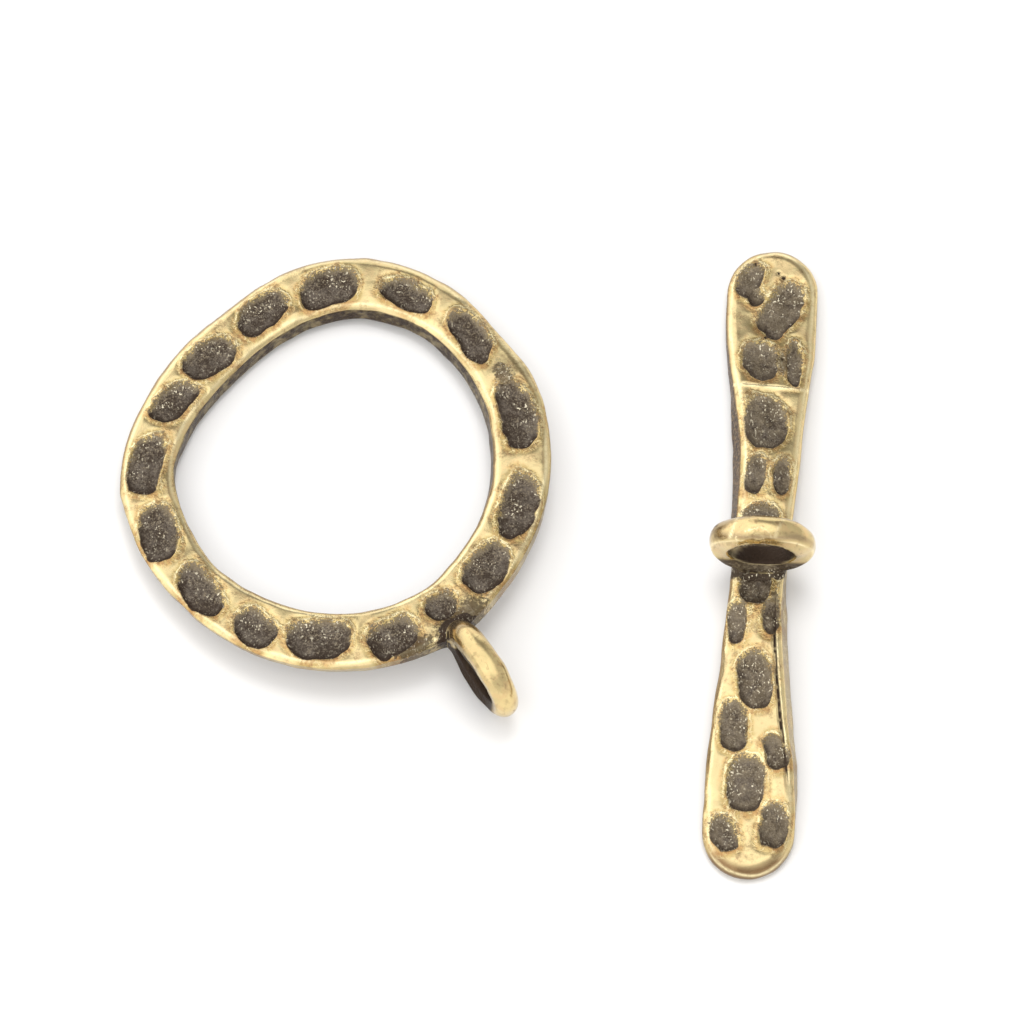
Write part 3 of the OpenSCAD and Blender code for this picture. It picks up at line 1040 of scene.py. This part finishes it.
def ragged_rims(m):
    """Distance inside the marks, with ragged far rims and crisp near ones."""
    loose = m.ramp(m.lee, 0.3, -0.3, 0.3, 1)
    wander = m.plus(m.ramp(m.grain, 0.3, 0.7, -0.02, 0.02), m.ramp(m.medium, 0.3, 0.7, -0.07, 0.07))
    return m.plus(m.value("inside"), m.times(wander, loose))


def ridge_highlight_net(m):
    """Painted highlights on a net of fine ridges close to the marks."""
    lines = m.math("SUBTRACT", m.noise(m.place, 0.34, 2, 0.55), 0.5)
    net = m.ramp(m.math("ABSOLUTE", lines), 0.035, 0.005)
    return m.times(net, m.ramp(m.medium, 0.62, 0.45, 0.2, 1), m.close, 0.7)


def highlight_lines(m, lit_ridges):
    """Painted highlights on the edges, partly wear, on creases, outside the marks' far rims and on fine
    ridges.
    """
    far_rim_highlight = m.times(m.ramp(m.ragged, -0.2, -0.15), m.ramp(m.ragged, -0.08, -0.12),
                      m.ramp(m.lee, 0.4, -0.4), m.ramp(m.medium, 0.62, 0.42, 0.1, 1))
    bright = m.most(m.value("edge"), m.value("crease"), far_rim_highlight, lit_ridges)
    return m.times(bright, m.ramp(m.grain, 0.62, 0.5, 0.6, 1))


def gold_metal(m, lit_ridges):
    """Bright away from the marks, browner and speckled close to them, with painted highlights and shade."""
    gold = m.mix(m.ramp(m.broad, 0.4, 0.62, 0.1, 1), OLIVE, GOLD)
    gold = m.mix(m.ramp(m.medium, 0.46, 0.6, 0, 0.7), gold, ROSE)
    gold = m.mix(m.times(m.ramp(m.ragged, -0.15, -0.4, 0, 0.4), m.not_eye), gold, RUBBED_AND_HIGHLIGHT)
    tarnish = m.times(m.ramp(m.blotch, 0.5, 0.66, 0, 0.6),
                      m.ramp(m.texture, 0.42, 0.56, 0.3, 1), m.not_eye)
    gold = m.mix(tarnish, gold, BROWN)
    speckle = m.times(m.ramp(m.grain, 0.5, 0.6), m.ramp(m.medium, 0.4, 0.6, 0.1, 1),
                      m.ramp(m.close, 0, 1, 0, 0.65))
    gold = m.mix(speckle, gold, BROWN)
    # Painted shade and a painted dark reflection, towards brown
    gold = m.mix(m.times(m.value("shade"), 0.8), gold, BROWN)
    # Painted highlights, partly wear
    gold = m.mix(highlight_lines(m, lit_ridges), gold, RUBBED_AND_HIGHLIGHT)
    gold = m.mix(m.times(m.eye, 0.25), gold, RUBBED_AND_HIGHLIGHT)
    streaks = m.noise(stretched(m, 1, 1, 0.35), 0.22, 3, 0.6)
    gold = m.mix(m.times(m.ramp(streaks, 0.54, 0.66, 0, 0.35), m.eye), gold, BROWN)
    # Outside the marks' near rims: partly tarnish, partly painted shade on the shoulders that slope away
    # from the light
    shade_and_tarnish = m.times(m.ramp(m.ragged, -0.3, -0.02), m.ramp(m.lee, 0, 0.8, 0, 0.7),
                   m.ramp(m.medium, 0.35, 0.6, 0.2, 1), m.not_eye)
    return m.mix(shade_and_tarnish, gold, WARM_SHADE_AND_TARNISH)


def hammer_marks(m):
    """The marks: crisp near rims, and soft and crumbled far ones."""
    softness = m.ramp(m.lee, -0.5, 0.5, 0.22, 0.04)
    spread = m.plus(m.ragged, m.ramp(m.lee, -0.6, 0.3, 0.11, 0.015))
    crumbled = m.times(m.ramp(m.texture, 0.35, 0.65, 0.16, -0.16), m.ramp(m.lee, 0.3, -0.5, 0.05, 1))
    marked = m.ramp(m.math("DIVIDE", m.plus(spread, crumbled), softness), 0, 1)
    return m.times(marked, m.value("face"), m.not_eye)


def dark_walls(m):
    """The walls, but for the painted highlight low on them, and on a pale piece for gold grains."""
    walls = m.times(m.wall, m.not_eye, m.ramp(m.medium, 0.3, 0.6, 0.7, 1))
    walls = m.times(walls, m.ramp(m.value("low"), 0, 1, 1, 0.3))
    return m.times(walls, m.ramp(m.grain, 0.68, 0.52, 0.9 - 1.1 * m.pale, 1))


def crevices(m):
    """The crevice round an eye where it meets its body."""
    crevice = m.most(m.value("foot"), m.value("root"))
    joint = m.ramp(m.plus(crevice, m.ramp(m.medium, 0.3, 0.7, -0.25, 0.25)), 0.3, 0.7)
    return m.times(joint, m.ramp(crevice, 0.02, 0.3))


def dull_patches(m):
    patch = m.plus(m.value("stain"), m.ramp(m.grain, 0.3, 0.7, 0.25, -0.25))
    return m.times(m.ramp(patch, 0.3, 0.7), m.not_eye, 0.85)


def deepest(m, walls, joint, patches):
    """Where the patina is darkest: on walls, in crevices and in holes; and painted shade inside the near
    rims.
    """
    # Painted shade inside the near rims, where the marks' walls face away from the light
    shaded_near_rim = m.times(m.ramp(m.lee, -0.1, 0.6), m.ramp(m.ragged, 0.32, 0.06), 1 - 0.9 * m.pale)
    dark_wall = m.times(walls, m.ramp(m.medium, 0.62, 0.4, 0.2, 1))
    darker_wall = m.times(m.ramp(m.wall, 0.9, 1.4), m.ramp(m.grain, 0.58, 0.46, 0.15, 1))
    in_patch = m.times(patches, m.ramp(m.grain, 0.6, 0.4))
    on_cheek = m.times(m.cheek, m.ramp(m.grain, 0.6, 0.4, 0.1, 0.6))
    return m.most(shaded_near_rim, m.times(joint, 0.8), m.bore, dark_wall, darker_wall, in_patch, on_cheek)


def patina_metal(m, walls, joint, patches):
    mottle = m.plus(m.times(m.texture, 0.6), m.times(m.blotch, 0.4))
    patina = m.mix(m.ramp(mottle, 0.43, 0.57), PATINA_DARK, PATINA)
    patina = m.mix(m.ramp(m.texture, 0.53, 0.64, 0, 0.55), patina, PATINA_PALE)
    patina = m.mix(m.times(m.ramp(m.medium, 0.3, 0.6), m.pale), patina, PATINA_PALE)
    # Painted light: paler patina on the marks' floors towards their far rims, whose walls face the light
    lit_far_floor = m.times(m.ramp(m.ragged, 0.34, 0.02), m.ramp(m.ragged, -0.3, -0.1),
                        m.ramp(m.lee, 0.2, -0.6, 0, 0.8))
    patina = m.mix(lit_far_floor, patina, PATINA_PALE)
    # Fine pale grain, partly dust and partly painted light, towards the far rims where light falls
    dust_on_lit_side = m.times(m.ramp(m.fine, 0.5, 0.66, 0, 0.5), m.ramp(m.lee, 0.4, -0.6))
    patina = m.mix(dust_on_lit_side, patina, PATINA_PALE)
    patina = m.mix(deepest(m, walls, joint, patches), patina, PATINA_DEEP)
    worn = m.times(walls, m.ramp(m.texture, 0.47, 0.57, 0, 2 * m.pale))
    return m.mix(worn, patina, BROWN)


def specks_and_glints(m, where):
    """Pale specks in clusters, bare grains and painted glints, more towards the marks' far rims, where
    light falls.
    """
    dots = m.ramp(m.noise(m.place, 0.1, 0), 0.68, 0.77)
    dashes = m.ramp(m.noise(stretched(m, 1, 0.45, 1), 0.07, 0), 0.7, 0.78)
    clusters = m.ramp(m.noise(m.place, 0.6, 1), 0.42, 0.6, 0.08, 0.95)
    return m.times(m.most(dots, dashes), clusters, m.ramp(m.lee, 0.7, -0.4, 0.35, 1), where)


GOLD_ROUGHNESS = 0.2
PATINA_ROUGHNESS = 0.42
PATINA_METALLIC = 0.7
BUMP_DEPTH = 0.05


def metal(name, shift, pale):
    """Antique brass: worn gold with painted highlights and shade, dark patina in marks, on walls and in
    crevices.
    """
    material = bpy.data.materials.new(name)
    m = Brass(material, shift, pale)
    # Painted highlights on a net of fine ridges, which also raise the bump a little
    lit_ridges = ridge_highlight_net(m)
    marks, walls, joint, patches = hammer_marks(m), dark_walls(m), crevices(m), dull_patches(m)
    dark = m.most(marks, walls, joint, m.bore, m.cheek, patches)
    glint_specks = specks_and_glints(m, m.most(marks, joint, patches))
    colour = m.mix(dark, gold_metal(m, lit_ridges), patina_metal(m, walls, joint, patches))
    colour = m.mix(glint_specks, colour, GLINT_SPECK)
    dull = m.math("SUBTRACT", dark, glint_specks)
    metallic = m.ramp(dull, 0, 1, 1, PATINA_METALLIC)
    roughness = m.ramp(dull, 0, 1, GOLD_ROUGHNESS, PATINA_ROUGHNESS)
    coarse = m.most(dark, m.ramp(m.close, 0.2, 1, 0.1, 0.4))
    height = m.times(m.plus(m.grain, m.times(m.fine, 0.5)), coarse)
    height = m.plus(height, m.times(lit_ridges, 0.2))
    bump = m.add("Bump", {"Height": height, "Strength": 1, "Distance": BUMP_DEPTH * MM})
    shader = m.add("BsdfPrincipled", {"Base Color": colour, "Metallic": metallic, "Roughness": roughness,
                                      "Normal": bump.outputs[0]})
    m.add("OutputMaterial", {"Surface": shader.outputs[0]})
    return material


# The studio: floor, light and camera

# The floor: half its side and its level in mm, its colour, roughness and shine
FLOOR_REACH = 900
FLOOR_LEVEL = -0.02
FLOOR_COLOUR = (0.83, 0.82, 0.81, 1)
FLOOR_ROUGHNESS = 0.9
FLOOR_SHINE = 0.2


def floor():
    signs = ((-1, -1), (1, -1), (1, 1), (-1, 1))
    corners = np.array([(x * FLOOR_REACH, y * FLOOR_REACH, FLOOR_LEVEL) for x, y in signs])
    piece = mesh_object("floor", corners, [(0, 1, 2, 3)])
    material = bpy.data.materials.new("pale_floor")
    nodes = Nodes(material)
    shader = nodes.add("BsdfPrincipled", {"Base Color": FLOOR_COLOUR, "Roughness": FLOOR_ROUGHNESS,
                                          "Specular IOR Level": FLOOR_SHINE})
    nodes.add("OutputMaterial", {"Surface": shader.outputs[0]})
    piece.data.materials.append(material)


# The white tent: the way to its top, how near to it the tent brightens and is full, its dim and full
# brightness, and its walls: their axis, where along it they start and are full, and brightness
TENT_TOP = (-0.13, -0.24, 0.96)
TENT_EDGE = 0.5
TENT_MIDDLE = 0.9
TENT_DIM = 0.38
TENT_BRIGHT = 1.58
TENT_WALLS = [
    ("X", -0.1, -0.45, 1.6),
    ("X", 0.3, 0.75, 0.8),
    ("Y", -0.3, -0.8, 1.0),
    ("Y", 0.84, 0.95, 1.3),
]
# The softbox, which throws the soft shadows: place and size in mm, and radiance
SOFTBOX_PLACE = (12, 68, 290)
SOFTBOX_SIZE = 105
SOFTBOX_RADIANCE = 7.5


def softbox():
    """A square lamp that faces the origin and that the metal doesn't mirror."""
    lamp = bpy.data.lights.new("far_softbox", "AREA")
    lamp.size = SOFTBOX_SIZE * MM
    lamp.energy = SOFTBOX_RADIANCE * pi * (SOFTBOX_SIZE * MM) ** 2
    thing = new_object("far_softbox", lamp)
    thing.location = Vector(SOFTBOX_PLACE) * MM
    thing.rotation_euler = (-Vector(SOFTBOX_PLACE)).to_track_quat("-Z", "Y").to_euler()
    thing.visible_glossy = False


def light():
    """A white tent, brightest overhead, with four walls of different brightness, and one softbox."""
    world = bpy.data.worlds.new("studio")
    bpy.context.scene.world = world
    nodes = Nodes(world)
    way = nodes.add("TexCoord").outputs["Generated"]
    overhead = nodes.add("VectorMath", {0: way, 1: TENT_TOP}, operation="DOT_PRODUCT")
    sideways = nodes.add("SeparateXYZ", {0: way}).outputs
    strength = nodes.ramp(overhead.outputs["Value"], TENT_EDGE, TENT_MIDDLE, TENT_DIM, TENT_BRIGHT)
    for axis, start, full, brightness in TENT_WALLS:
        strength = nodes.most(strength, nodes.ramp(sideways[axis], start, full, TENT_DIM, brightness))
    background = nodes.add("Background", {"Color": (1, 1, 1, 1), "Strength": strength})
    nodes.add("OutputWorld", {"Surface": background.outputs[0]})
    softbox()


def camera():
    lens = bpy.data.cameras.new("camera")
    lens.sensor_width = SENSOR
    lens.lens = CAMERA_DISTANCE / VIEW_WIDTH * SENSOR
    lens.clip_start = 0.01
    lens.clip_end = 5
    thing = new_object("camera", lens)
    target = Vector(CAMERA_TARGET)
    turn = Matrix.Rotation(CAMERA_TURN, 3, "Z")
    back = turn @ Vector((0, -sin(CAMERA_TILT), cos(CAMERA_TILT)))
    right = turn @ Vector((1, 0, 0))
    thing.location = (target + back * CAMERA_DISTANCE) * MM
    thing.rotation_euler = Matrix((right, back.cross(right), back)).transposed().to_euler()
    bpy.context.scene.camera = thing


camera()
light()
floor()
bpy.context.scene.view_settings.view_transform = "Standard"

ring = make_ring()
ring.data.materials.append(metal("ring_brass", shift=0.0, pale=0.0))
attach(ring, "root")
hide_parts("toggle_ring")

bar = make_bar()
bar.data.materials.append(metal("bar_brass", shift=0.03, pale=0.34))
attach(bar, "root")
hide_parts("toggle_bar")
